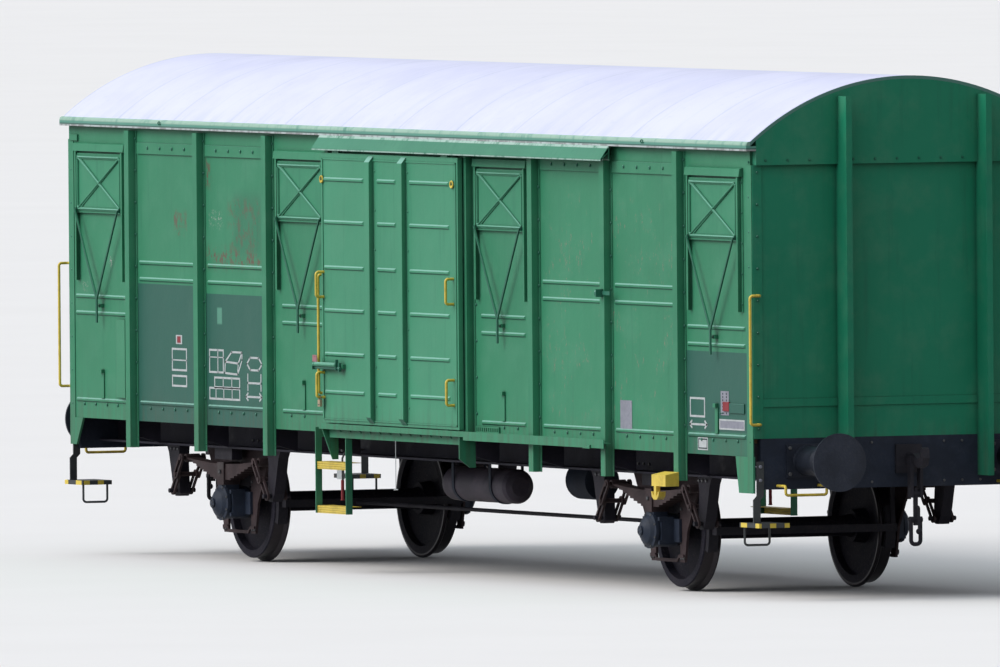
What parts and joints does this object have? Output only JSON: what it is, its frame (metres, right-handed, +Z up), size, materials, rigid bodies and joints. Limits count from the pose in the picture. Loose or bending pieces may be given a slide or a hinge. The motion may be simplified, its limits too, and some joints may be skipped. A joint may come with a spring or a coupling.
{
  "type": "two-axle covered goods van",
  "caption": "Two-axle covered railway goods van with a barrel roof, a sliding door on each side, sliding wall hatches, leaf springs, buffers and screw couplings.",
  "frame": {"origin": "on the ground line under the middle of the van, level with the tips of the wheel flanges", "axes": "+X along the van towards its right end as seen from the near side, +Y across the van away from the near side, +Z up"},
  "size_m": [14.02, 3.028, 4.0398],
  "materials": {
    "body_green": "satin, chalky, with bluish repaired patches",
    "roof_paint": "pale grey, dull, streaked with dirt",
    "floor_boards": "worn boards",
    "frame_paint": "blue-black, dusty",
    "running_gear": "brown-grey with brake dust",
    "wheel_steel": "rusty brown web, bright tread",
    "safety_yellow": "gloss, worn"
  },
  "bodies": {
    "van": {"air_reservoir": "frame_paint", "axle_guards": "running_gear", "axleboxes": "running_gear", "brake_cylinder": "frame_paint", "brake_rigging": "running_gear", "buffer_casings": "running_gear", "buffer_handles": "safety_yellow", "buffer_plungers": "running_gear", "centre_sills": "frame_paint", "corner_steps": "frame_paint", "cornices": "body_green", "cross_members": "frame_paint", "door_headers": "body_green", "door_rails": "body_green", "door_sills": "body_green", "door_step_treads": "safety_yellow", "door_steps": "body_green", "door_stops": "frame_paint", "draw_hooks": "running_gear", "end_posts": "body_green", "end_wall_left": "body_green", "end_wall_right": "body_green", "floor": "floor_boards", "gables": "body_green", "grab_rails": "safety_yellow", "hatch_guides_far": "body_green", "hatch_guides_near": "body_green", "headstocks": "frame_paint", "hoods": "body_green", "leaf_springs": "running_gear", "outriggers": "frame_paint", "posts_far": "body_green", "posts_near": "body_green", "roof": "roof_paint", "rope_hooks": "safety_yellow", "screw_couplings": "running_gear", "side_far_left": "body_green", "side_far_right": "body_green", "side_near_left": "body_green", "side_near_right": "body_green", "solebars": "frame_paint", "spring_brackets": "running_gear", "spring_links": "running_gear", "tank_straps": "frame_paint"},
    "wheelset_left": {"wheels_left": "wheel_steel", "axle_left": "wheel_steel"},
    "wheelset_right": {"wheels_right": "wheel_steel", "axle_right": "wheel_steel"},
    "sliding_door_near": {"door_near": "body_green", "door_handles_near": "safety_yellow"},
    "sliding_door_far": {"door_far": "body_green", "door_handles_far": "safety_yellow"},
    "shutter_near_outer_left": {"hatch_near_outer_left": "body_green"},
    "shutter_near_inner_left": {"hatch_near_inner_left": "body_green"},
    "shutter_near_inner_right": {"hatch_near_inner_right": "body_green"},
    "shutter_near_outer_right": {"hatch_near_outer_right": "body_green"},
    "shutter_far_outer_left": {"hatch_far_outer_left": "body_green"},
    "shutter_far_inner_left": {"hatch_far_inner_left": "body_green"},
    "shutter_far_inner_right": {"hatch_far_inner_right": "body_green"},
    "shutter_far_outer_right": {"hatch_far_outer_right": "body_green"}
  },
  "joints": [
    {"name": "wheelset_left_spin", "type": "hinge", "parent": "van", "child": "wheelset_left", "pos_m": [-4, 0, 0.48], "axis": [0, 1, 0], "continuous": true},
    {"name": "wheelset_right_spin", "type": "hinge", "parent": "van", "child": "wheelset_right", "pos_m": [4, 0, 0.48], "axis": [0, 1, 0], "continuous": true},
    {"name": "door_near_slide", "type": "slide", "parent": "van", "child": "sliding_door_near", "axis": [1, 0, 0], "range_m": [0, 2.5]},
    {"name": "door_far_slide", "type": "slide", "parent": "van", "child": "sliding_door_far", "axis": [-1, 0, 0], "range_m": [0, 2.5]},
    {"name": "shutter_near_outer_left_slide", "type": "slide", "parent": "van", "child": "shutter_near_outer_left", "axis": [0, 0, -1], "range_m": [0, 0.53]},
    {"name": "shutter_near_inner_left_slide", "type": "slide", "parent": "van", "child": "shutter_near_inner_left", "axis": [0, 0, -1], "range_m": [0, 0.53]},
    {"name": "shutter_near_inner_right_slide", "type": "slide", "parent": "van", "child": "shutter_near_inner_right", "axis": [0, 0, -1], "range_m": [0, 0.53]},
    {"name": "shutter_near_outer_right_slide", "type": "slide", "parent": "van", "child": "shutter_near_outer_right", "axis": [0, 0, -1], "range_m": [0, 0.53]},
    {"name": "shutter_far_outer_left_slide", "type": "slide", "parent": "van", "child": "shutter_far_outer_left", "axis": [0, 0, -1], "range_m": [0, 0.53]},
    {"name": "shutter_far_inner_left_slide", "type": "slide", "parent": "van", "child": "shutter_far_inner_left", "axis": [0, 0, -1], "range_m": [0, 0.53]},
    {"name": "shutter_far_inner_right_slide", "type": "slide", "parent": "van", "child": "shutter_far_inner_right", "axis": [0, 0, -1], "range_m": [0, 0.53]},
    {"name": "shutter_far_outer_right_slide", "type": "slide", "parent": "van", "child": "shutter_far_outer_right", "axis": [0, 0, -1], "range_m": [0, 0.53]}
  ]
}
